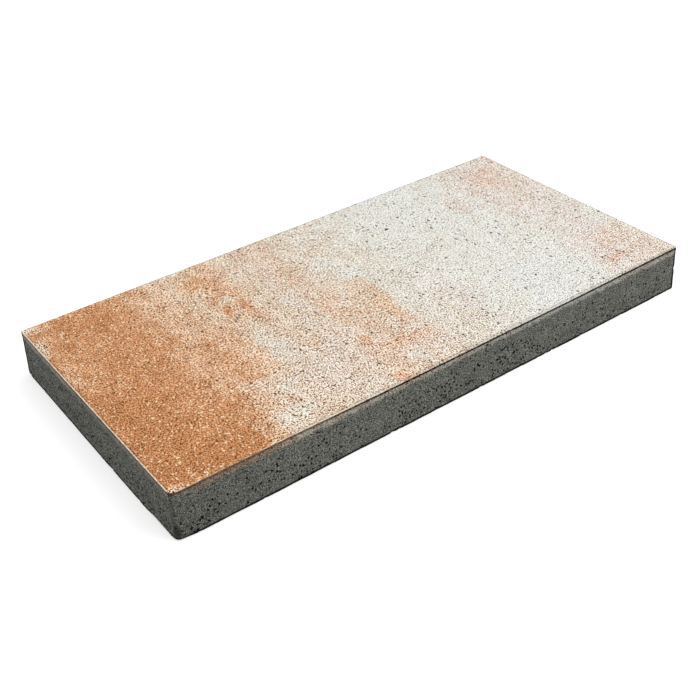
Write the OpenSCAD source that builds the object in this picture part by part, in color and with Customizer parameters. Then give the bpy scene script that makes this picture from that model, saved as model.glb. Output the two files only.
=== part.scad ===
/* [Slab] */
// Length over all, measured at the foot of the sides
slab_length = 600; // [200:5:1200]
// Width over all, measured at the foot of the sides
slab_width = 300; // [100:5:900]
// Thickness, from the underside to the paving face
slab_thickness = 50; // [30:1:100]

/* [Mould] */
// Radius of the upright corners at the foot of the sides
corner_radius = 5; // [5:0.5:20]
// How far each side leans in between its foot and the upper arris
side_draft = 2.4; // [0:0.1:3]

/* [Arrises] */
// Width of the bevel round the paving face, measured across it in plan
upper_arris_width = 1; // [0.2:0.1:1.4]
// Depth of that bevel down the side
upper_arris_depth = 0.8; // [0.2:0.1:4]
// Small bevel round the underside, the same across and up
lower_arris = 0.5; // [0.1:0.1:2]

/* [Hidden] */
// Distances between the centres of the rounded corners
corner_pitch_x = slab_length - 2 * corner_radius;
corner_pitch_y = slab_width - 2 * corner_radius;
$fn = 64;

// The edge of the slab in section, from the underside up to the paving face:
// lower arris, leaning side, upper arris. "reach" is how far out its foot lies.
function edge_points(reach) = [
    [reach - lower_arris, 0],
    [reach, lower_arris],
    [reach - side_draft, slab_thickness - upper_arris_depth],
    [reach - side_draft - upper_arris_width, slab_thickness]
];

// The same edge on the other side of the section, from the paving face down
function opposite(points) = [
    for (i = [len(points) - 1 : -1 : 0]) [-points[i][0], points[i][1]]
];

// A straight bar of the slab, as wide as it is over all, along X
module straight_bar(bar_length, bar_width) {
    section = edge_points(bar_width / 2);
    rotate([90, 0, 90])
        linear_extrude(height = bar_length, center = true)
            polygon(concat(section, opposite(section)));
}

// One rounded upright corner: the same edge turned about the corner's centre
module rounded_corner() {
    rotate_extrude()
        polygon(concat([[0, 0]], edge_points(corner_radius), [[0, slab_thickness]]));
}

// The whole slab: two bars that cross, with the rounded corners between their ends
module paving_slab() {
    color([0.86, 0.79, 0.71])
        union() {
            straight_bar(corner_pitch_x, slab_width);
            rotate([0, 0, 90]) straight_bar(corner_pitch_y, slab_length);
            for (x = [-1, 1], y = [-1, 1])
                translate([x * corner_pitch_x / 2, y * corner_pitch_y / 2, 0])
                    rounded_corner();
        }
}

paving_slab();
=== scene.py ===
from math import radians
import bpy
from mathutils import Euler, Matrix, Vector, noise


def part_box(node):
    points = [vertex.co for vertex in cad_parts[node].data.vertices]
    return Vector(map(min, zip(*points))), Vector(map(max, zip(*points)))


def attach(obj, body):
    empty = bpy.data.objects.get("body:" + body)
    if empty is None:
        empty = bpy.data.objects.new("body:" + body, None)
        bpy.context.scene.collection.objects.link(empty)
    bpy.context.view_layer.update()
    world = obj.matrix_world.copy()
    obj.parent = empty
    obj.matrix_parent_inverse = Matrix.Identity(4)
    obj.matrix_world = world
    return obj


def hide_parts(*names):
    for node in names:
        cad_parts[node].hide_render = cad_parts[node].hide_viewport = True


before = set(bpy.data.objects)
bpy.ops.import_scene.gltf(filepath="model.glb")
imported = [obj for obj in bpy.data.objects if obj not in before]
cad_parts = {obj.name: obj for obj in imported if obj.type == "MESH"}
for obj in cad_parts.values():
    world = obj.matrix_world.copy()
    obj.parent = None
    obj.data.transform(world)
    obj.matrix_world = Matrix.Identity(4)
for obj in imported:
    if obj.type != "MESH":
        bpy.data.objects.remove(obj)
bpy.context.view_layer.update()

# The camera: it stands off the slab's front corner and looks down on its paving face, with the
# long side running away to the right. It aims a little left and in front of the slab's middle.
slab_low, slab_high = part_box("paving_slab")
slab_length, slab_width, slab_thickness = slab_high - slab_low
camera_azimuth = radians(-35.07)
camera_elevation = radians(34.94)
camera_roll = radians(-2.68)
camera_distance = 1.02
camera_lens = 55.31
camera_aim = Vector((-0.053, -0.0472, slab_thickness / 2))

view_turn = Euler((radians(90) - camera_elevation, 0, camera_azimuth)).to_matrix()
view_turn = view_turn @ Matrix.Rotation(camera_roll, 3, "Z")
bpy.ops.object.camera_add(
    location=camera_aim + camera_distance * view_turn.col[2],
    rotation=view_turn.to_euler(),
)
camera = bpy.context.object
camera.name = "camera"
camera.data.lens = camera_lens
camera.data.clip_start = 0.01
camera.data.clip_end = 50
bpy.context.scene.camera = camera

# The paving slab: one block of pressed concrete, a grey core mix under a few millimetres of
# coloured facing mix. It is cast face down in a mould with leaning sides, so it narrows towards
# its paving face. Its upright corners are round, and a small bevel runs round the face.
corner_radius = 0.005
corner_steps = 5
side_draft = 0.0024
arris_width = 0.0009
arris_depth = 0.0009
foot_width = 0.0005
# how many parts each run is cut into, pass by pass
length_parts = (30, 13)
width_parts = (16, 12)
height_parts = (32,)
rim_parts = 3

bpy.ops.object.select_all(action="DESELECT")
bpy.ops.mesh.primitive_cube_add(size=1, location=(0, 0, foot_width / 2))
slab = bpy.context.object
slab.name = "slab"
slab.scale = (slab_length, slab_width, foot_width)
bpy.ops.object.transform_apply(location=True, rotation=True, scale=True)


def pick(kind, test):
    """Select the slab's vertices, edges or faces that pass the test, and edit them."""
    bpy.ops.object.mode_set(mode="OBJECT")
    mesh = slab.data
    for items in (mesh.vertices, mesh.edges, mesh.polygons):
        items.foreach_set("select", [False] * len(items))
    if kind == "vertices":
        for vertex in mesh.vertices:
            vertex.select = test(vertex.co)
    elif kind == "edges":
        place = [vertex.co for vertex in mesh.vertices]
        for edge in mesh.edges:
            edge.select = test(place[edge.vertices[0]], place[edge.vertices[1]])
    else:
        for face in mesh.polygons:
            face.select = test(face)
    bpy.context.tool_settings.mesh_select_mode = [kind == k for k in ("vertices", "edges", "faces")]
    bpy.ops.object.mode_set(mode="EDIT")


def on_face(place):
    return abs(place.z - slab_thickness) < 1e-5


def on_foot(place):
    return abs(place.z) < 1e-5


def divide(axis, run, parts):
    """Cut the edges that run along an axis for that length into equal parts, pass by pass."""
    for count in parts:
        pick("edges", lambda a, b: abs((a - b)[axis]) > max(0.9 * run, 0.99 * (a - b).length))
        bpy.ops.mesh.subdivide(number_cuts=count - 1)
        run /= count


# The strip above the foot is made first, with its round corners. The leaning side and then the
# bevel, in two steps that round it a little, rise from its top.
pick("edges", lambda a, b: abs(a.z - b.z) > foot_width / 2)
bpy.ops.mesh.bevel(offset=corner_radius, segments=corner_steps, profile=0.5, affect="EDGES")
pick("faces", lambda face: on_foot(face.center))
shrink = Vector((1 - 2 * foot_width / slab_length, 1 - 2 * foot_width / slab_width, 1))
bpy.ops.transform.resize(value=shrink)
pick("faces", lambda face: face.normal.z > 0.9)
side_height = slab_thickness - foot_width - arris_depth
top_radius = corner_radius - side_draft - arris_width
bpy.ops.mesh.inset(thickness=side_draft, depth=side_height, use_even_offset=True)
for width, rise in ((0.3, 0.6), (0.7, 0.4)):
    bpy.ops.mesh.inset(
        thickness=width * arris_width, depth=rise * arris_depth, use_even_offset=True
    )

# The face and the underside get a rim as wide as their corner arcs, which leaves an oblong.
foot_radius = corner_radius - foot_width
for on_level, rim in ((on_face, top_radius), (on_foot, foot_radius)):
    pick("faces", lambda face: on_level(face.center) and len(face.vertices) > 4)
    bpy.ops.mesh.inset(thickness=rim, use_even_offset=True)
    bpy.ops.mesh.remove_doubles(threshold=0.0005)
divide(0, slab_length - 2 * corner_radius, length_parts)
divide(1, slab_width - 2 * corner_radius, width_parts)
divide(2, side_height, height_parts)
pick("edges", lambda a, b: on_foot(a) and on_foot(b) and (a - b).length > 0.8 * foot_radius)
bpy.ops.mesh.subdivide(number_cuts=rim_parts - 1)
bpy.ops.object.mode_set(mode="OBJECT")


def inset(place):
    """How far a point lies inside the leaning sides, at its own height."""
    along = abs(place.x) - slab_length / 2 + corner_radius
    across = abs(place.y) - slab_width / 2 + corner_radius
    outside = Vector((max(along, 0), max(across, 0))).length
    lean = side_draft * place.z / slab_thickness
    return corner_radius - outside - min(max(along, across), 0) - lean


def between(value, low, high):
    """0 at low, 1 at high, and even in between."""
    return min(max((value - low) / (high - low), 0), 1)


def weigh(name, weight):
    """A vertex group whose weight at each vertex follows from its place."""
    group = slab.vertex_groups.new(name=name)
    for vertex in slab.data.vertices:
        amount = weight(vertex.co)
        if amount > 0:
            group.add((vertex.index,), amount, "REPLACE")


def push(test, shift, reach):
    """Move the vertices that pass the test, and less and less of what lies round them."""
    pick("vertices", test)
    bpy.ops.transform.translate(
        value=shift,
        use_proportional_edit=True,
        proportional_edit_falloff="SMOOTH",
        proportional_size=reach,
    )
    bpy.ops.object.mode_set(mode="OBJECT")


# The bake's map: a sheet for the face above those for the two long sides, then a smaller one
# for the underside, next to those for the short sides. Numbers are parts of the image's width.
sheet_scale = 1.6
under_scale = 0.76
sheets = {
    # for the side the faces look to: where its middle is laid, and which axis runs across
    (2, 1): ((0.5, 0.74), 0, 1, sheet_scale),
    (1, -1): ((0.5, 0.44), 0, 2, sheet_scale),
    (1, 1): ((0.5, 0.34), 0, 2, sheet_scale),
    (2, -1): ((0.25, 0.154), 0, 1, under_scale),
    (0, -1): ((0.74, 0.23), 1, 2, sheet_scale),
    (0, 1): ((0.74, 0.13), 1, 2, sheet_scale),
}
bake_map = slab.data.uv_layers.new(name="OFBake")
for face in slab.data.polygons:
    sizes = [abs(part) for part in face.normal]
    axis = sizes.index(max(sizes))
    middle, across, up, scale = sheets[axis, 1 if face.normal[axis] > 0 else -1]
    for corner in face.loop_indices:
        point = slab.data.vertices[slab.data.loops[corner].vertex_index].co
        rise = point.z - slab_thickness / 2 if up == 2 else point.y
        bake_map.data[corner].uv = (middle[0] + scale * point[across], middle[1] + scale * rise)

# The front corner has been knocked round, most of all at its foot, and the foot of the sides
# next to it and at the far corner of the short side has crumbled.
front_x = -slab_length / 2
front_y = -slab_width / 2
skin = 0.001


def at_front(place):
    """On the rounded upright corner at the front."""
    reach = max(place.x - front_x, place.y - front_y)
    return reach < corner_radius and inset(place) < 0.0016


def foot_of_short_side(nearest, furthest):
    """A test for the foot of the short side, between two distances from the front corner."""
    return lambda p: (
        p.x < front_x + skin and p.z < skin and nearest < p.y - front_y < furthest
    )


def foot_of_long_side(nearest, furthest):
    """A test for the foot of the long side, between two distances from the front corner."""
    return lambda p: (
        p.y < front_y + skin and p.z < skin and nearest < p.x - front_x < furthest
    )


push(at_front, (0.0005, 0.0005, 0), 0.006)
push(lambda p: at_front(p) and p.z > slab_thickness - 0.0012, (0.0006, 0.0006, 0), 0.006)
push(lambda p: at_front(p) and p.z < 0.006, (0.001, 0.001, 0.0009), 0.024)
push(foot_of_short_side(0.026, 0.036), (0.0003, 0, 0.0018), 0.018)
push(foot_of_long_side(0.008, 0.016), (0, 0.0002, 0.001), 0.008)
push(foot_of_short_side(slab_width - 0.007, slab_width + skin), (0.0003, 0, 0.0012), 0.005)


def on_side(place):
    """1 on the upright sides, fading out over the band of facing mix to the arris."""
    upright = inset(place) < 0.0008
    return upright * between(place.z, slab_thickness - 0.0015, slab_thickness - 0.006)


def on_paving(place):
    """1 on the paving face, fading out over the last millimetres to its arris."""
    return between(inset(place), 0.0015, 0.005) * (place.z > slab_thickness - 0.0002)


def open_patch(place):
    """1 where the side's mix didn't close up under the press, which comes in clusters."""
    cluster = noise.noise(place * 55) + 0.5 * noise.noise(place * 140)
    return between(cluster, -0.05, 0.35) * on_side(place)


def at_foot(place):
    """1 at the slab's lower edge, fading out 5 mm up the side and 4 mm in under it."""
    return between(place.z, 0.005, 0.0008) * between(inset(place), 0.004, 0.001)


def at_arris(place):
    """1 on the bevel round the paving face."""
    return (place.z > slab_thickness - 0.0012) * between(inset(place), 0.0025, 0.0012)


weigh("side", on_side)
weigh("paving", on_paving)
weigh("open", open_patch)
weigh("foot", at_foot)
weigh("arris", at_arris)
weigh("underside", lambda place: float(on_foot(place) and inset(place) > 0.006))


def clouds(name, grain, depth=1):
    texture = bpy.data.textures.new(name, "CLOUDS")
    texture.noise_scale = grain
    texture.noise_depth = depth
    return texture


def voids(name, spacing, reach):
    """Round hollows, one about every spacing, that reach that share of the way to the next."""
    texture = bpy.data.textures.new(name, "VORONOI")
    texture.noise_scale = spacing
    texture.use_color_ramp = True
    deep, flat = texture.color_ramp.elements
    deep.position = 0.1
    deep.color = (1, 1, 1, 1)
    flat.position = reach
    flat.color = (0, 0, 0, 1)
    return texture


def wear(texture, group, depth, direction="NORMAL"):
    """Wear the mesh away where the texture is light: inwards by depth, or upwards."""
    press = slab.modifiers.new(texture.name, "DISPLACE")
    press.texture = texture
    press.vertex_group = group
    press.direction = direction
    press.mid_level = 0
    press.strength = depth if direction == "Z" else -depth
    bpy.ops.object.modifier_apply(modifier=press.name)


def thin_out(group, keep):
    """Merge the small triangles where the surface is nearly flat, down to that many."""
    total = sum(len(face.vertices) - 2 for face in slab.data.polygons)
    thin = slab.modifiers.new("thin", "DECIMATE")
    thin.vertex_group = group
    thin.ratio = keep / total
    bpy.ops.object.modifier_apply(modifier=thin.name)


wear(clouds("foot", 0.012, 2), "foot", 0.0007, "Z")
wear(clouds("waves", 0.035), "side", 0.0004)
wear(voids("voids", 0.0062, 0.42), "open", 0.0014)
wear(clouds("crumbs", 0.0028, 2), "side", 0.00025)
wear(clouds("nicks", 0.004, 2), "arris", 0.0006)
wear(clouds("blasting", 0.0035), "paving", 0.00016)
thin_out("underside", 256000)
thin_out("paving", 184000)
bpy.ops.object.shade_smooth()


# The two mixes: both are sand and fine gravel in cement, pressed and then blasted, and differ
# in colour. The helpers below lay out the nodes of their materials.
def paint(red, green, blue):
    """A colour as it shows, in steps of 1/255, turned into the values that a node takes."""
    return (*(((value / 255 + 0.055) / 1.055) ** 2.4 for value in (red, green, blue)), 1)


def grey(value):
    """A plain number as the colour that a colour ramp or a mix takes for it."""
    return (value, value, value, 1)


def node(tree, kind, inputs, **settings):
    """Add a shader node, set it, and link or fill the inputs that are named."""
    made = tree.nodes.new("ShaderNode" + kind)
    for name, value in settings.items():
        setattr(made, name, value)
    for socket, value in inputs.items():
        if isinstance(value, bpy.types.NodeSocket):
            tree.links.new(value, made.inputs[socket])
        else:
            made.inputs[socket].default_value = value
    return made


def maths(tree, operation, *values):
    return node(tree, "Math", dict(enumerate(values)), operation=operation).outputs[0]


def vectors(tree, operation, *values):
    return node(tree, "VectorMath", dict(enumerate(values)), operation=operation).outputs[0]


def length(tree, vector):
    return node(tree, "VectorMath", {0: vector}, operation="LENGTH").outputs["Value"]


def scaled(tree, vector, by):
    return node(tree, "VectorMath", {0: vector, "Scale": by}, operation="SCALE").outputs[0]


def step(tree, value, low, high, start=0, end=1):
    """start up to low, end from high on, and a smooth step in between."""
    inputs = {"Value": value, "From Min": low, "From Max": high, "To Min": start, "To Max": end}
    return node(tree, "MapRange", inputs, interpolation_type="SMOOTHSTEP").outputs[0]


def ramp(tree, value, low, high, start=0, end=1):
    """start up to low, end from high on, and even in between."""
    inputs = {"Value": value, "From Min": low, "From Max": high, "To Min": start, "To Max": end}
    return node(tree, "MapRange", inputs).outputs[0]


def mix(tree, share, under, over):
    return node(tree, "Mix", {0: share, 6: under, 7: over}, data_type="RGBA").outputs[2]


def drift(tree, place, size, detail=2):
    """Smooth noise, mostly from 0.3 to 0.7, in patches of about that size."""
    inputs = {"Vector": place, "Scale": 1 / size, "Detail": detail}
    return node(tree, "TexNoise", inputs).outputs["Fac"]


def stir(tree, place, size, by, detail=2):
    """Move each point by up to about a third of by, unevenly, in patches of about that size."""
    inputs = {"Vector": place, "Scale": 1 / size, "Detail": detail}
    swirl = node(tree, "TexNoise", inputs).outputs["Color"]
    swirl = vectors(tree, "SUBTRACT", swirl, (0.5, 0.5, 0.5))
    return vectors(tree, "ADD", place, scaled(tree, swirl, by))


def shades(tree, value, stops):
    """A colour for each value from 0 to 1, even between the stops."""
    made = node(tree, "ValToRGB", {"Fac": value})
    elements = made.color_ramp.elements
    while len(elements) < len(stops):
        elements.new(1)
    for element, (position, colour) in zip(elements, stops):
        element.position = position
        element.color = colour
    return made.outputs["Color"]


def group(name, takes, gives):
    """Start a node group. Returns its tree, what it takes in and what it gives out."""
    tree = bpy.data.node_groups.new(name, "ShaderNodeTree")
    for label, value in takes.items():
        kind = "NodeSocketVector" if isinstance(value, tuple) else "NodeSocketFloat"
        tree.interface.new_socket(label, in_out="INPUT", socket_type=kind).default_value = value
    for label in gives:
        kind = "NodeSocketColor" if label == "Colour" else "NodeSocketFloat"
        tree.interface.new_socket(label, in_out="OUTPUT", socket_type=kind)
    taken = tree.nodes.new("NodeGroupInput").outputs
    given = tree.nodes.new("NodeGroupOutput").inputs
    return tree, taken, given


def use(tree, inner, inputs):
    """Place a node group in a material or in another group, and return what it gives."""
    made = tree.nodes.new("ShaderNodeGroup")
    made.node_tree = inner
    for label, value in inputs.items():
        if isinstance(value, bpy.types.NodeSocket):
            tree.links.new(value, made.inputs[label])
        else:
            made.inputs[label].default_value = value
    return made.outputs


# Sand: pale grains and the dark gaps between them, each with a scatter of its own. The dark of
# the gaps is partly dirt and partly painted shade in the crevices between the grains. Wave runs
# from 1 in the middle of a grain to -1 in a gap, and Swell is the grain's half of it. Grain and
# Gap are the tones of the nearest. Near and far are parts of Size.
sand_parts = ("Wave", "Swell", "Grain", "Gap")
gap_shift = (250.5, 150.5, 50.5)


def sand(name, dimensions, size, near, far):
    made, taken, given = group(name, {"Vector": (0, 0, 0), "Size": size}, sand_parts)
    lattice = scaled(made, taken["Vector"], maths(made, "DIVIDE", 1, taken["Size"]))
    swells = []
    for label, shift in (("Grain", (0, 0, 0)), ("Gap", gap_shift)):
        cells = {"Vector": vectors(made, "ADD", lattice, shift), "Scale": 1}
        cells = node(made, "TexVoronoi", cells, voronoi_dimensions=dimensions).outputs
        swells.append(ramp(made, cells["Distance"], far, near))
        tones = node(made, "SeparateColor", {"Color": cells["Color"]}).outputs
        made.links.new(tones["Red"], given[label])
    made.links.new(swells[0], given["Swell"])
    made.links.new(maths(made, "SUBTRACT", *swells), given["Wave"])
    return made


face_sand = sand("face sand", "2D", 0.0015, 0.1, 0.7)
side_sand = sand("side sand", "3D", 0.00108, 0.2, 0.8)

# Pits: small round pores, in that share of the places where there could be one.
pits, taken, given = group(
    "pits", {"Vector": (0, 0, 0), "Spacing": 0.006, "Reach": 0.2, "Share": 0.3}, ("Mask",)
)
lattice = scaled(pits, taken["Vector"], maths(pits, "DIVIDE", 1, taken["Spacing"]))
lattice = stir(pits, lattice, 0.25, 0.3, 1)
cells = node(pits, "TexVoronoi", {"Vector": lattice, "Scale": 1}).outputs
tones = node(pits, "SeparateColor", {"Color": cells["Color"]}).outputs
size = maths(pits, "MULTIPLY", taken["Reach"], step(pits, tones["Green"], 0, 1, 0.5, 1.3))
hollow = maths(pits, "SUBTRACT", 1, maths(pits, "DIVIDE", cells["Distance"], size))
chosen = maths(pits, "LESS_THAN", tones["Red"], taken["Share"])
pits.links.new(maths(pits, "MULTIPLY", step(pits, hollow, 0, 0.4), chosen), given["Mask"])

# Outline: how far a point lies inside the slab's leaning sides, at its own height.
outline, taken, given = group("outline", {"Vector": (0, 0, 0)}, ("Inset", "Corner"))
middle_size = (slab_length / 2 - corner_radius, slab_width / 2 - corner_radius, 1)
beyond = vectors(outline, "SUBTRACT", vectors(outline, "ABSOLUTE", taken["Vector"]), middle_size)
outside = length(outline, vectors(outline, "MAXIMUM", beyond, (0, 0, 0)))
beyond = node(outline, "SeparateXYZ", {"Vector": beyond}).outputs
outline.links.new(maths(outline, "MINIMUM", beyond["X"], beyond["Y"]), given["Corner"])
inside = maths(outline, "MINIMUM", maths(outline, "MAXIMUM", beyond["X"], beyond["Y"]), 0)
reach = maths(outline, "ADD", outside, inside)
height = node(outline, "SeparateXYZ", {"Vector": taken["Vector"]}).outputs["Z"]
reach = maths(outline, "MULTIPLY_ADD", height, side_draft / slab_thickness, reach)
outline.links.new(maths(outline, "SUBTRACT", corner_radius, reach), given["Inset"])

# Stain: one patch of more or less pigment, an ellipse as seen from above.
stain_takes = {
    "Vector": (0, 0, 0), "Middle": (0, 0, 0), "Reach": (0.03, 0.03, 1), "Soft": 0.5, "Change": 0.2,
}
stain, taken, given = group("stain", stain_takes, ("Change",))
away = vectors(stain, "SUBTRACT", taken["Vector"], taken["Middle"])
away = vectors(stain, "DIVIDE", away, taken["Reach"])
away = length(stain, vectors(stain, "MULTIPLY", away, (1, 1, 0)))
outer = maths(stain, "ADD", 1, taken["Soft"])
inner = maths(stain, "SUBTRACT", 1, taken["Soft"])
share = step(stain, away, outer, inner)
stain.links.new(maths(stain, "MULTIPLY", share, taken["Change"]), given["Change"])

# Pigment: how much iron oxide colours the facing mix, from 0 for none to 1. The batches that
# fill the mould side by side run into each other, from rust at one end to near white.
pigment, taken, given = group(
    "pigment", {"Vector": (0, 0, 0)}, ("Density", "Blush", "Rose", "Pore")
)
millimetre = 0.001
run = stir(pigment, taken["Vector"], 0.028, 0.021, 3)
run = stir(pigment, run, 0.006, 0.006, 2)
bands = (
    # place along the slab, and the density there from the back row to the front row
    (-300, 0.8, 0.88, 0.92, 0.88),
    (-286, 0.82, 0.9, 0.96, 0.96),
    (-250, 0.84, 0.87, 0.92, 0.94),
    (-214, 0.84, 0.84, 0.88, 0.93),
    (-205, 0.82, 0.77, 0.86, 0.88),
    (-199, 0.75, 0.72, 0.8, 0.66),
    (-186, 0.68, 0.69, 0.72, 0.6),
    (-181, 0.65, 0.68, 0.5, 0.36),
    (-160, 0.58, 0.66, 0.44, 0.32),
    (-142, 0.52, 0.6, 0.4, 0.34),
    (-134, 0.5, 0.46, 0.38, 0.38),
    (-129, 0.52, 0.32, 0.34, 0.38),
    (-112, 0.54, 0.34, 0.3, 0.32),
    (-103, 0.52, 0.4, 0.3, 0.32),
    (-95, 0.42, 0.4, 0.3, 0.3),
    (-70, 0.36, 0.32, 0.34, 0.36),
    (-56, 0.37, 0.35, 0.38, 0.42),
    (-48, 0.38, 0.43, 0.4, 0.42),
    (-30, 0.34, 0.42, 0.38, 0.32),
    (-10, 0.27, 0.4, 0.38, 0.34),
    (7, 0.26, 0.42, 0.38, 0.28),
    (13, 0.24, 0.2, 0.22, 0.24),
    (40, 0.2, 0.17, 0.2, 0.22),
    (60, 0.14, 0.15, 0.15, 0.16),
    (90, 0.1, 0.13, 0.14, 0.13),
    (130, 0.09, 0.1, 0.06, 0.06),
    (200, 0.12, 0.11, 0.08, 0.1),
    (216, 0.17, 0.15, 0.15, 0.22),
    (250, 0.21, 0.17, 0.2, 0.22),
    (300, 0.21, 0.15, 0.21, 0.23),
)
run_parts = node(pigment, "SeparateXYZ", {"Vector": run}).outputs
end_to_end = {"Value": run_parts["X"], "From Min": -slab_length / 2, "From Max": slab_length / 2}
end_to_end = node(pigment, "MapRange", end_to_end).outputs[0]
rows = []
for row in (1, 2, 3, 4):
    rows.append(shades(pigment, end_to_end, [
        (0.5 + band[0] * millimetre / slab_length, grey(band[row])) for band in bands
    ]))
density = rows.pop()
for start, full in ((-0.117, -0.111), (-0.07, -0.058), (0.002, 0.03)):
    density = mix(pigment, step(pigment, run_parts["Y"], start, full), density, rows.pop())


def stained(density, patches, place=run):
    """Add soft patches: the middle and the reach of each both ways, its softness, its change."""
    for x, y, reach_x, reach_y, soft, change in patches:
        made = use(pigment, stain, {
            "Vector": place,
            "Middle": (x * millimetre, y * millimetre, 0),
            "Reach": (reach_x * millimetre, reach_y * millimetre, 1),
            "Soft": soft,
            "Change": change,
        })
        density = maths(pigment, "ADD", density, made["Change"])
    return density


# Where the pigment is stronger or weaker than in its band
density = stained(density, (
    (-228, 112, 18, 18, 0.7, 0.06),
    (-262, -35, 20, 30, 0.7, 0.04),
    (-294, 104, 8, 16, 0.5, -0.34),
    (-287, 136, 12, 7, 0.6, -0.22),
    (-293, 32, 6, 22, 0.8, -0.12),
    (-297, 146, 12, 9, 0.6, -0.35),
    (-296, -146, 11, 8, 0.6, -0.5),
    (-268, 152, 30, 9, 0.7, -0.12),
    (-205, 154, 40, 8, 0.7, -0.15),
    (-134, 151, 20, 8, 0.5, -0.32),
    (-128, 116, 14, 9, 0.6, 0.16),
    (-106, 80, 12, 64, 0.8, 0.12),
    (-126, 96, 14, 34, 0.8, 0.06),
    (-118, 64, 6, 6, 0.7, -0.2),
    (-146, 82, 5, 20, 0.7, -0.1),
    (-127, 49, 5, 9, 0.5, 0.3),
    (-106, 44, 4, 9, 0.5, 0.16),
    (-176, -90, 6, 16, 0.6, 0.12),
    (-150, -88, 11, 6, 0.5, -0.14),
    (-152, -124, 15, 8, 0.4, -0.08),
    (-162, -138, 8, 10, 0.6, 0.1),
    (-118, -38, 8, 16, 0.5, -0.1),
    (-70, 26, 10, 16, 0.7, -0.11),
    (-82, -60, 6, 20, 0.7, -0.08),
    (-46, -12, 6, 24, 0.6, 0.1),
    (-44, 96, 8, 60, 0.7, 0.06),
    (-6, 60, 16, 12, 0.7, -0.1),
    (10, 88, 8, 9, 0.8, 0.08),
    (-1, -45, 7, 26, 0.7, 0.18),
    (9, 25, 13, 12, 0.7, -0.12),
    (-22, -98, 24, 8, 0.6, 0.13),
    (-54, -104, 12, 9, 0.6, 0.1),
    (-166, -20, 18, 60, 0.8, 0.05),
    (6, 15, 3, 12, 0.6, 0.12),
    (-30, -122, 9, 8, 0.6, -0.12),
    (-62, -140, 8, 9, 0.5, 0.26),
    (-56, -78, 4, 11, 0.5, 0.24),
    (-30, -92, 10, 8, 0.7, 0.1),
    (50, -90, 12, 30, 0.8, 0.05),
    (115, 18, 14, 16, 0.8, 0.06),
    (186, 70, 12, 16, 0.7, 0.09),
    (262, 95, 24, 26, 0.7, 0.1),
    (262, -100, 30, 26, 0.7, 0.03),
    (232, -120, 10, 6, 0.6, 0.1),
))
pigment.links.new(density, given["Density"])

# Salmon stains
pigment.links.new(stained(0, (
    (290, 132, 6, 9, 0.5, 0.85),
    (270, 112, 9, 8, 0.8, 0.25),
    (-295, -144, 9, 6, 0.7, 0.25),
    (236, -120, 9, 6, 0.7, 0.42),
    (252, 104, 8, 10, 0.8, 0.25),
    (262, -80, 6, 10, 0.8, 0.22),
    (266, -95, 9, 4, 0.8, 0.3),
    (88, 146, 6, 5, 0.7, 0.4),
    (-52, -80, 4, 9, 0.6, 0.6),
    (-60, -143, 6, 7, 0.6, 0.4),
    (-103, -98, 3, 4, 0.7, 0.3),
    (30, -60, 4, 6, 0.8, 0.3),
    (57, -55, 4, 5, 0.8, 0.25),
)), given["Blush"])

# Where the mix has a rosy tinge
pigment.links.new(stained(0, (
    (256, 60, 44, 100, 0.5, 0.8),
    (256, -110, 44, 50, 0.5, 1),
    (190, 66, 12, 18, 0.8, 0.7),
    (60, -70, 14, 50, 0.8, 0.6),
    (-20, -100, 36, 50, 0.6, 0.7),
    (-95, -90, 40, 60, 0.6, 0.6),
    (-105, 70, 10, 80, 0.7, 0.6),
    (-50, 60, 26, 90, 0.7, 0.5),
)), given["Rose"])

# The larger open pores, which the facing mix paints dark with the shade inside them
pigment.links.new(stained(0, (
    (92, 77, 2, 1.6, 0.4, 1),
    (71, 40, 1.2, 1, 0.4, 0.9),
    (92, 46, 1.3, 1, 0.4, 0.9),
    (188, 76, 1.8, 1.2, 0.5, 0.7),
    (184, 3, 1.4, 1.2, 0.5, 0.7),
    (156, -16, 1.3, 1, 0.5, 0.6),
    (85, -36, 1.6, 1.2, 0.6, 0.5),
    (216, -8, 1.2, 1.6, 0.5, 0.6),
    (114, 132, 1.2, 1, 0.5, 0.7),
    (220, 135, 1.4, 1, 0.5, 0.7),
    (-206, 127, 1.6, 1.2, 0.5, 0.8),
    (-193, 128, 1.2, 1, 0.5, 0.7),
    (-157, 92, 1.2, 1.2, 0.5, 0.7),
    (-175, 78, 1.2, 1, 0.5, 0.7),
    (-190, -124, 1.6, 1.2, 0.5, 0.7),
), taken["Vector"]), given["Pore"])

# Edges: how much lower the painted shadow line under the arris starts along the middle of the
# long sides, which sides are long, and where the pale line on the bevel, partly rubbed and
# partly a painted highlight, is strong: at the left and on the short sides.
edges, taken, given = group("edges", {"Vector": (0, 0, 0)}, ("Sag", "Long", "Left"))
parts = node(edges, "SeparateXYZ", {"Vector": taken["Vector"]}).outputs
long_side = maths(edges, "ABSOLUTE", parts["Y"])
long_side = step(edges, long_side, slab_width / 2 - 0.009, slab_width / 2 - 0.006)
edges.links.new(long_side, given["Long"])
sag_left = -0.0002
sag_most = 0.001
sag = step(edges, parts["X"], -0.22, -0.05, sag_left, sag_most)
sag = maths(edges, "MULTIPLY", sag, step(edges, parts["X"], 0.29, 0.12))
edges.links.new(maths(edges, "MULTIPLY", sag, long_side), given["Sag"])
short_side = maths(edges, "SUBTRACT", 1, long_side)
left = step(edges, parts["X"], -0.05, -0.2)
edges.links.new(maths(edges, "MAXIMUM", left, short_side), given["Left"])

# The facing mix: its colour and its height in millimetres, for the face and for the band of it
# that shows along the tops of the sides. What it takes besides Vector comes from its sand.
facing_takes = {"Vector": (0, 0, 0), "Wave": 0.0, "Swell": 0.5, "Grain": 0.5, "Gap": 0.5}
facing, taken, given = group("facing mix", facing_takes, ("Colour", "Height"))
place = taken["Vector"]
dye = use(facing, pigment, {"Vector": place})

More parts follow.
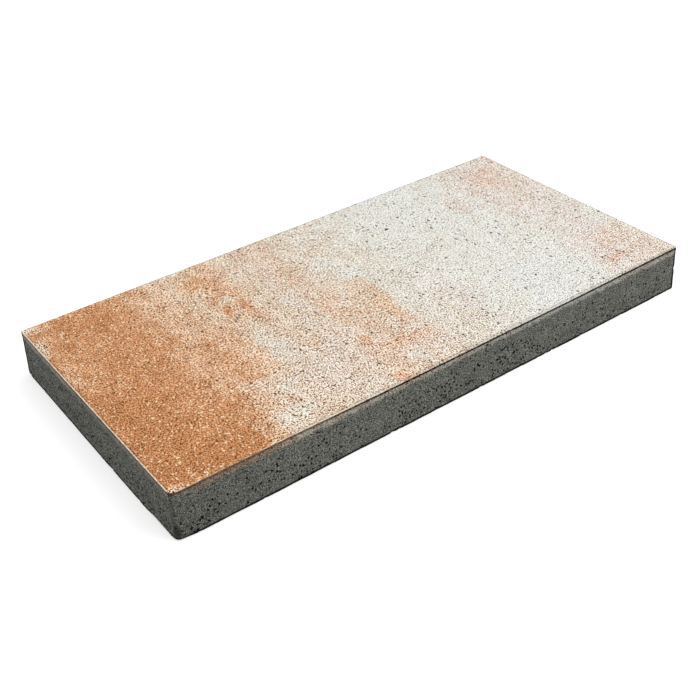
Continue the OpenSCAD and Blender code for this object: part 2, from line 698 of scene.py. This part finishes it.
# The pigment is unevenly stirred in, most of all where it is neither thin nor full.
uneven = maths(facing, "MULTIPLY", dye["Density"], maths(facing, "SUBTRACT", 1.07, dye["Density"]))
streaky = vectors(facing, "MULTIPLY", place, (1, 0.6, 1))
streaks = vectors(facing, "MULTIPLY", place, (1, 0.45, 1))
clumps = maths(facing, "SUBTRACT", drift(facing, streaky, 0.009, 4), 0.5)
small = maths(facing, "SUBTRACT", drift(facing, place, 0.0034), 0.5)
clumps = maths(facing, "MULTIPLY_ADD", small, 0.8, clumps)
streaks = maths(facing, "SUBTRACT", drift(facing, streaks, 0.02, 3), 0.5)
clumps = maths(facing, "MULTIPLY_ADD", streaks, 0.45, clumps)
clumps = maths(facing, "MULTIPLY", clumps, uneven)
density = maths(facing, "MULTIPLY_ADD", clumps, 1.8, dye["Density"])

# The cement paste: near white without pigment, then cream, buff, orange and rust.
paste = shades(facing, density, (
    (0.06, paint(238, 238, 232)), (0.1, paint(241, 239, 227)), (0.15, paint(241, 235, 223)),
    (0.28, paint(241, 221, 200)), (0.41, paint(243, 209, 183)), (0.54, paint(242, 200, 166)),
    (0.7, paint(228, 173, 132)), (0.83, paint(206, 145, 99)), (0.92, paint(196, 133, 85)),
    (1, paint(183, 121, 71)),
))
rosy = step(facing, drift(facing, place, 0.0065, 3), 0.5, 0.64, 0, 0.75)
rosy = maths(facing, "MULTIPLY", rosy, dye["Rose"])
paste = mix(facing, rosy, paste, paint(228, 176, 158))
paste = mix(facing, dye["Rose"], paste, vectors(facing, "MULTIPLY", paste, (1, 0.957, 1.02)))
paste = mix(facing, dye["Blush"], paste, paint(236, 150, 118))
swirl = {"Vector": place, "Scale": 1 / 0.011, "Detail": 2}
swirl = node(facing, "TexNoise", swirl).outputs["Color"]
tint = vectors(facing, "MULTIPLY_ADD", swirl, (0.08, 0.06, 0.1), (0.96, 0.97, 0.95))
shade = maths(facing, "MULTIPLY_ADD", clumps, -3, 1)
paste = scaled(facing, vectors(facing, "MULTIPLY", paste, tint), shade)

# The sand in it: pale grains, and dark gaps that show more where the paste is buff. The gaps
# are darkened partly with dirt and partly with painted shade between the grains.
pale_grain = shades(facing, density, (
    (0.08, paint(255, 255, 250)), (0.28, paint(255, 250, 234)), (0.54, paint(255, 236, 208)),
    (0.83, paint(255, 200, 153)), (1, paint(248, 183, 132)),
))
dark_dirt_and_shade = shades(facing, density, (
    (0.08, paint(50, 28, 8)), (0.28, paint(86, 52, 6)), (0.54, paint(92, 38, 0)),
    (0.83, paint(94, 26, 0)), (1, paint(86, 22, 0)),
))
contrast = shades(facing, density, (
    (0.08, grey(0.94)), (0.3, grey(1.32)), (0.62, grey(1.35)), (0.84, grey(0.88)), (1, grey(0.84)),
))
calm = step(facing, drift(facing, place, 0.008), 0.35, 0.6, 0.8, 1.1)
wave = maths(facing, "MULTIPLY", taken["Wave"], calm)
light = maths(facing, "MULTIPLY_ADD", density, 2, 0.6)
light = maths(facing, "POWER", taken["Grain"], light)
light = maths(facing, "MULTIPLY_ADD", light, 0.5, 0.5)
light = maths(facing, "MULTIPLY", ramp(facing, wave, 0, 0.25), light)
light = maths(facing, "MULTIPLY", light, contrast)
colour = mix(facing, light, paste, pale_grain)
dark = maths(facing, "MULTIPLY_ADD", density, -1.2, 2.8)
dark = maths(facing, "POWER", taken["Gap"], dark)
dark = maths(facing, "MULTIPLY_ADD", dark, 0.7, 0.3)
dark = maths(facing, "MULTIPLY", ramp(facing, wave, 0, -0.25), dark)
dark = maths(facing, "MULTIPLY", dark, contrast)
colour = mix(facing, dark, colour, dark_dirt_and_shade)

# A few grains blasted bare, warm where the pigment is full, and small pits painted dark with
# the shade inside them
bare = maths(facing, "MULTIPLY_ADD", drift(facing, place, 0.03), 0.2, taken["Grain"])
bare = ramp(facing, bare, 1.03, 1.06)
bare = maths(facing, "MULTIPLY", bare, ramp(facing, taken["Swell"], 0, 0.25, 0, 0.85))
warmth = step(facing, density, 0.3, 0.8, 0, 0.8)
colour = mix(facing, bare, colour, mix(facing, warmth, pale_grain, (1, 0.87, 0.58, 1)))
specks = {"Vector": streaky, "Spacing": 0.0042, "Reach": 0.27, "Share": 0.25}
specks = use(facing, pits, specks)["Mask"]
sparse = step(facing, density, 0.65, 0.85, 0.9, 0.6)
colour = mix(facing, maths(facing, "MULTIPLY", specks, sparse), colour, dark_dirt_and_shade)
# Painted shade in the larger open pores
facing.links.new(mix(facing, dye["Pore"], colour, paint(34, 30, 24)), given["Colour"])
height = maths(facing, "MULTIPLY", taken["Wave"], 0.1)
height = maths(facing, "MULTIPLY_ADD", specks, -0.4, height)
height = maths(facing, "MULTIPLY_ADD", dye["Pore"], -1, height)
facing.links.new(height, given["Height"])


def material(name, roughness):
    """Start a material. Returns its tree, its shader and the point on the slab that it colours."""
    made = bpy.data.materials.new(name)
    made.use_nodes = True
    shader = made.node_tree.nodes["Principled BSDF"]
    shader.inputs["Roughness"].default_value = roughness
    shader.inputs["Specular IOR Level"].default_value = 0.1
    slab.data.materials.append(made)
    place = made.node_tree.nodes.new("ShaderNodeTexCoord").outputs["Object"]
    return made.node_tree, shader, place


def relief(tree, shader, height, strength):
    """Shade the surface by a height in millimetres."""
    bump = node(tree, "Bump", {"Height": height, "Distance": millimetre, "Strength": strength})
    tree.links.new(bump.outputs["Normal"], shader.inputs["Normal"])


def facing_on(tree, place, grains):
    """Lay the facing mix, with that sand in it."""
    return use(tree, facing, {"Vector": place, **{name: grains[name] for name in sand_parts}})


# The paving face: the facing mix. Its bevel is pale above, partly rubbed and partly a painted
# highlight, and darker below, with a painted shadow line and some dirt.
face_tree, face_shader, place = material("paving face", 0.85)
stretched = vectors(face_tree, "MULTIPLY", place, (1, 0.78, 1))
grains = use(face_tree, face_sand, {"Vector": stretched})
mixture = facing_on(face_tree, place, grains)
side = use(face_tree, edges, {"Vector": place})
parts = node(face_tree, "SeparateXYZ", {"Vector": place}).outputs
depth = maths(face_tree, "SUBTRACT", slab_thickness, parts["Z"])
edge = use(face_tree, outline, {"Vector": place})["Inset"]
edge = maths(face_tree, "MULTIPLY_ADD", drift(face_tree, place, 0.003), 0.001, edge)

# A dull line inside the bevel, which stops where the long side is orange
dull = maths(face_tree, "MULTIPLY_ADD", side["Long"], 0.08, 0.24)
dull = maths(face_tree, "MULTIPLY", step(face_tree, edge, 0.0036, 0.0026), dull)
orange = maths(face_tree, "MULTIPLY", step(face_tree, parts["X"], -0.17, -0.22), side["Long"])
dull = maths(face_tree, "MULTIPLY", dull, maths(face_tree, "SUBTRACT", 1, orange))
colour = mix(face_tree, dull, mixture["Colour"], paint(60, 48, 36))

# The pale line on the bevel, partly rubbed and partly a painted highlight, and the painted
# shadow line with some dirt that starts below it
beads = step(face_tree, drift(face_tree, place, 0.0045), 0.3, 0.55, 0.6, 1)
rubbed_and_highlight = maths(face_tree, "MULTIPLY", step(face_tree, edge, 0.0017, 0.0014), beads)
strength = maths(face_tree, "MULTIPLY_ADD", side["Left"], 0.8, 0.2)
rubbed_and_highlight = maths(face_tree, "MULTIPLY", rubbed_and_highlight, strength)
colour = mix(face_tree, rubbed_and_highlight, colour, paint(253, 240, 216))
dirt_and_shadow = maths(face_tree, "SUBTRACT", depth, side["Sag"])
dirt_and_shadow = maths(face_tree, "MULTIPLY_ADD", beads, 0.0003, dirt_and_shadow)
dirt_and_shadow = maths(face_tree, "MULTIPLY", step(face_tree, dirt_and_shadow, 0.0007, 0.001, 0, 0.85), side["Long"])
dirt_and_shadow = maths(face_tree, "MULTIPLY", dirt_and_shadow, step(face_tree, depth, 0, 0.0003))
rust = step(face_tree, parts["X"], -0.14, -0.22)
colour = mix(face_tree, dirt_and_shadow, colour, mix(face_tree, rust, paint(42, 28, 6), paint(80, 42, 10)))
face_tree.links.new(colour, face_shader.inputs["Base Color"])
relief(face_tree, face_shader, mixture["Height"], 0.8)

# The sides and underside: the grey core mix, open and pitted, under a ragged band of facing mix.
core_tree, core_shader, place = material("core mix", 0.92)
# Near black for the painted shade down the upright corners and along the foot
painted_shade_black = paint(10, 10, 8)
grains = use(core_tree, side_sand, {"Vector": place})
calm = step(core_tree, drift(core_tree, place, 0.014), 0.35, 0.62, 0.8, 1.2)
wave = maths(core_tree, "MULTIPLY", grains["Wave"], calm)
paste = step(core_tree, drift(core_tree, place, 0.03), 0.3, 0.7)
paste = mix(core_tree, paste, paint(90, 91, 85), paint(101, 101, 96))
light = maths(core_tree, "MULTIPLY_ADD", maths(core_tree, "POWER", grains["Grain"], 2), 0.72, 0.18)
light = maths(core_tree, "MULTIPLY", ramp(core_tree, wave, 0, 0.3), light)
colour = mix(core_tree, light, paste, paint(162, 164, 154))
# The dark gaps between the grains: partly dirt and partly painted shade in the crevices
dark = maths(core_tree, "MULTIPLY_ADD", maths(core_tree, "POWER", grains["Gap"], 2.4), 0.8, 0.3)
dark = maths(core_tree, "MULTIPLY", ramp(core_tree, wave, 0, -0.3), dark)
colour = mix(core_tree, dark, colour, paint(4, 5, 3))

# The band of facing mix: weaker at the left of the long sides, and greyer on the short ones
side = use(core_tree, edges, {"Vector": place})
short_side = maths(core_tree, "SUBTRACT", 1, side["Long"])
parts = node(core_tree, "SeparateXYZ", {"Vector": place}).outputs
depth = maths(core_tree, "SUBTRACT", slab_thickness, parts["Z"])
ragged = maths(core_tree, "SUBTRACT", drift(core_tree, place, 0.006, 3), 0.5)
ragged = maths(core_tree, "MULTIPLY_ADD", ragged, 0.008, depth)
band = step(core_tree, ragged, 0.0094, 0.0058)
strength = step(core_tree, parts["X"], -0.22, -0.15, 0.03, 0.13)
strength = maths(core_tree, "MULTIPLY_ADD", side["Long"], strength, 0.18)
far_end = step(core_tree, parts["Y"], 0.02, 0.06, 0, 0.12)
band = maths(core_tree, "MULTIPLY", band, maths(core_tree, "ADD", strength, far_end))
near_front = step(core_tree, parts["X"], -0.29, -0.265, 0.3, 1)
near_front = mix(core_tree, side["Long"], grey(1), near_front)
band = maths(core_tree, "MULTIPLY", band, near_front)
mixture = facing_on(core_tree, place, grains)
faded = maths(core_tree, "MULTIPLY", short_side, 0.6)
faded = mix(core_tree, faded, mixture["Colour"], paint(205, 200, 184))
colour = mix(core_tree, band, colour, faded)

# The facing mix's own edge, and the painted shadow line under it with some dirt, which is rusty
# at the left
sunk = maths(core_tree, "SUBTRACT", depth, side["Sag"])
colour = mix(core_tree, step(core_tree, sunk, 0.0011, 0.0006, 0, 0.75), colour, mixture["Colour"])
shadow = step(core_tree, sunk, 0.0034, 0.0022)
shadow = maths(core_tree, "MULTIPLY", shadow, step(core_tree, sunk, 0.0004, 0.001))
beads = step(core_tree, drift(core_tree, place, 0.004), 0.35, 0.55, 0.8, 1)
shadow = maths(core_tree, "MULTIPLY", shadow, beads)
rust = step(core_tree, parts["X"], -0.08, -0.2)
strength = maths(core_tree, "MULTIPLY_ADD", rust, -0.35, 1)
strength = mix(core_tree, side["Long"], grey(0.52), strength)
shadow = maths(core_tree, "MULTIPLY", shadow, strength)
colour = mix(core_tree, shadow, colour, mix(core_tree, rust, paint(18, 10, 0), paint(84, 44, 8)))

# Pits, in clusters, painted near black with the shade inside them: more of them on the short
# sides, and where the long ones stayed open
clusters = step(core_tree, drift(core_tree, place, 0.02), 0.38, 0.6, 0.1, 0.4)
clusters = maths(core_tree, "MULTIPLY_ADD", short_side, 0.15, clusters)
open_middle = step(core_tree, parts["X"], -0.1, -0.03)
open_middle = maths(core_tree, "MULTIPLY", open_middle, step(core_tree, parts["X"], 0.13, 0.06))
open_middle = maths(core_tree, "MULTIPLY", open_middle, step(core_tree, depth, 0.014, 0.022))
loose = step(core_tree, drift(core_tree, place, 0.012), 0.42, 0.56, 0, 0.6)
clusters = maths(core_tree, "MULTIPLY_ADD", open_middle, loose, clusters)
holes = {"Vector": place, "Spacing": 0.0028, "Reach": 0.42, "Share": clusters}
specks = use(core_tree, pits, holes)["Mask"]
colour = mix(core_tree, specks, colour, paint(4, 4, 3))

# Painted shade in the hollows worn deeper than the skin, and a painted shade line down
# the upright corners: none on the knocked one at the front, and a fainter one round the
# back and the right
shape = use(core_tree, outline, {"Vector": place})
hollow_shade = step(core_tree, shape["Inset"], 0.0009, 0.0017, 0, 0.7)
colour = mix(core_tree, hollow_shade, colour, paint(24, 24, 21))
front_corner = -(slab_length + slab_width) / 2
front = maths(core_tree, "ADD", parts["X"], parts["Y"])
front = step(core_tree, front, front_corner + 0.02, front_corner + 0.03)
at_left = step(core_tree, parts["X"], -0.2, -0.25, 0, 0.001)
corners = maths(core_tree, "ADD", shape["Corner"], at_left)
corners = step(core_tree, corners, -0.0018, -0.001, 0, 0.95)
corners = maths(core_tree, "MULTIPLY", corners, front)
back = maths(core_tree, "ADD", parts["Y"], (slab_length - slab_width) / 2)
turned = maths(core_tree, "MAXIMUM", parts["X"], back)
turned = maths(core_tree, "MULTIPLY_ADD", parts["Z"], side_draft / slab_thickness, turned)
end_x = slab_length / 2
turned = step(core_tree, turned, end_x - 0.0025, end_x - 0.0012, 1, 0.25)
corners = maths(core_tree, "MULTIPLY", corners, turned)
colour = mix(core_tree, corners, colour, painted_shade_black)

# The crumbled foot, with a painted contact shadow along it, and a little painted shade at the
# left of the long sides and on the short ones
foot = maths(core_tree, "MULTIPLY_ADD", drift(core_tree, place, 0.004), 0.001, parts["Z"])
colour = mix(core_tree, step(core_tree, foot, 0.0042, 0.003, 0, 0.95), colour, painted_shade_black)
near_left = step(core_tree, parts["X"], -0.2, -0.28, 0, 0.13)
near_left = maths(core_tree, "MULTIPLY", near_left, side["Long"])
colour = mix(core_tree, near_left, colour, paint(20, 18, 12))
short_side_shade = maths(core_tree, "MULTIPLY", short_side, 0.02)
colour = mix(core_tree, short_side_shade, colour, paint(20, 20, 18))
core_tree.links.new(colour, core_shader.inputs["Base Color"])
height = maths(core_tree, "MULTIPLY", grains["Wave"], 0.12)
height = maths(core_tree, "MULTIPLY_ADD", specks, -0.6, height)
relief(core_tree, core_shader, height, 1)

for face in slab.data.polygons:
    upper = face.center.z > slab_thickness - arris_depth and face.normal.z > 0.2
    face.material_index = 0 if upper else 1

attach(slab, "root")
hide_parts("paving_slab")

# The floor and the light: a plain pale studio floor with the same white behind it, an even
# white sky, and one large soft lamp in front and to the right.
floor_size = 12
floor_grey = 0.8
floor_glow = 0.5
sky_strength = 0.76
lamp_place = (1.1, -1.3, 1.9)
lamp_turn = (radians(42), 0, radians(40))
lamp_size = 1.6
lamp_power = 22

bpy.ops.object.select_all(action="DESELECT")
bpy.ops.mesh.primitive_plane_add(size=floor_size)
floor = bpy.context.object
floor.name = "floor"
backdrop = bpy.data.materials.new("backdrop")
backdrop.use_nodes = True
floor.data.materials.append(backdrop)
tree = backdrop.node_tree
matt = tree.nodes["Principled BSDF"]
matt.inputs["Base Color"].default_value = grey(floor_grey)
matt.inputs["Roughness"].default_value = 1
matt.inputs["Specular IOR Level"].default_value = 0
seen = node(tree, "LightPath", {}).outputs["Is Camera Ray"]
tree.links.new(maths(tree, "MULTIPLY", seen, floor_glow), matt.inputs["Emission Strength"])
matt.inputs["Emission Color"].default_value = grey(1)

bpy.ops.object.light_add(type="AREA", location=lamp_place, rotation=lamp_turn)
lamp = bpy.context.object
lamp.name = "lamp"
lamp.data.size = lamp_size
lamp.data.energy = lamp_power

sky = bpy.data.worlds.new("sky")
sky.use_nodes = True
bpy.context.scene.world = sky
tree = sky.node_tree
seen = node(tree, "LightPath", {}).outputs["Is Camera Ray"]
strength = node(tree, "MapRange", {"Value": seen, "To Min": sky_strength, "To Max": 1}).outputs[0]
tree.links.new(strength, tree.nodes["Background"].inputs["Strength"])
tree.nodes["Background"].inputs["Color"].default_value = grey(1)
bpy.context.scene.view_settings.view_transform = "Standard"
